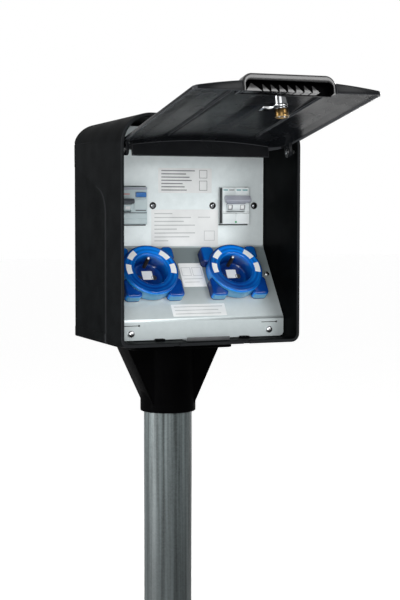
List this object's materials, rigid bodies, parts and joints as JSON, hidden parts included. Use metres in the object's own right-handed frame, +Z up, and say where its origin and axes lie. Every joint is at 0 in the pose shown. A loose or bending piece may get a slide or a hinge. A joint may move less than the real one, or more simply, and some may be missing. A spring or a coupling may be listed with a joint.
{
  "type": "garden socket post",
  "caption": "Steel post with a black moulded hood, a lockable lid that swings up, a bent zinc panel with rail-mounted breakers, and sloping blue plug sockets.",
  "frame": {"origin": "centre of the foot of the post, on its cut end", "axes": "+Z up along the post, front of the box towards -Y, +X to the right seen from the front"},
  "size_m": [0.225, 0.3828, 0.9964],
  "materials": {
    "shell_black": "satin, fine moulded grain",
    "adaptor_black": "smooth moulding",
    "handle_black": "gloss moulding",
    "post_zinc": "hot-dip galvanised, streaked",
    "panel_zinc": "galvanised sheet",
    "rail_zinc": "zinc plated",
    "screw_zinc": "zinc plated",
    "lock_chrome": "polished",
    "brass": "turned",
    "device_white": "fine matt",
    "device_grey": "fine matt",
    "toggle_lavender": "smooth",
    "toggle_dark": "smooth",
    "button_blue": "smooth",
    "socket_blue": "clear tinted moulding",
    "carrier_dark": "matt",
    "rubber_black": "matt",
    "bush_white": "smooth"
  },
  "bodies": {
    "post": {"post_tube": "post_zinc", "post_adaptor": "adaptor_black", "adaptor_set_screws": "screw_zinc", "adaptor_bolts": "screw_zinc", "cable_grommet": "rubber_black", "drain_plugs": "adaptor_black", "housing": "shell_black", "front_panel": "panel_zinc", "panel_screws": "screw_zinc", "flap_screws": "screw_zinc", "slope_screws": "screw_zinc", "din_rail": "rail_zinc", "rail_screws": "screw_zinc", "panel_pillars": "brass", "rcd_body": "device_grey", "rcd_rail_clip": "carrier_dark", "rcd_cover": "device_grey", "rcd_terminal_screws": "screw_zinc", "mcb_pole_left": "device_white", "mcb_pole_right": "device_white", "mcb_rail_clips": "carrier_dark", "mcb_covers": "device_white", "mcb_terminal_screws": "screw_zinc", "left_socket_bezel": "socket_blue", "right_socket_bezel": "socket_blue", "left_socket_carrier": "carrier_dark", "right_socket_carrier": "carrier_dark", "left_socket_contacts": "brass", "right_socket_contacts": "brass", "left_earth_pin": "lock_chrome", "right_earth_pin": "lock_chrome", "left_socket_gasket": "rubber_black", "right_socket_gasket": "rubber_black", "socket_screws": "screw_zinc", "socket_nuts": "screw_zinc", "terminal_block": "bush_white", "terminal_clamps": "brass", "terminal_screws": "screw_zinc", "earth_bar": "brass", "earth_bar_screws": "screw_zinc", "hinge_pins": "screw_zinc", "lock_keeper": "rail_zinc", "keeper_screws": "screw_zinc"},
    "lid": {"lid": "shell_black", "handle_grip": "handle_black", "handle_screws": "screw_zinc", "hinge_bushes": "bush_white", "lock_barrel": "lock_chrome", "lock_nut": "lock_chrome"},
    "lock": {"lock_plug": "brass", "lock_cam": "lock_chrome", "cam_nut": "lock_chrome"},
    "mcb_toggle": {"mcb_toggle": "toggle_lavender"},
    "rcd_toggle": {"rcd_toggle": "toggle_dark"},
    "test_button": {"rcd_test_button": "button_blue"}
  },
  "joints": [
    {"name": "lid_hinge", "type": "hinge", "parent": "post", "child": "lid", "pos_m": [0, -0.1322, 0.9255], "axis": [1, 0, 0], "range_deg": [0, 101.75]},
    {"name": "lock_turn", "type": "hinge", "parent": "lid", "child": "lock", "pos_m": [0, -0.32206, 0.97275], "axis": [0, 0.2036, 0.979], "range_deg": [0, 90]},
    {"name": "mcb_switch", "type": "hinge", "parent": "post", "child": "mcb_toggle", "pos_m": [0.0671, -0.053, 0.8617], "axis": [1, 0, 0], "range_deg": [0, 72]},
    {"name": "rcd_switch", "type": "hinge", "parent": "post", "child": "rcd_toggle", "pos_m": [-0.0761, -0.053, 0.8617], "axis": [1, 0, 0], "range_deg": [0, 50]},
    {"name": "test_press", "type": "slide", "parent": "post", "child": "test_button", "axis": [0, 1, 0], "range_m": [0, 0.0015], "stiffness_N_per_m": 600}
  ]
}
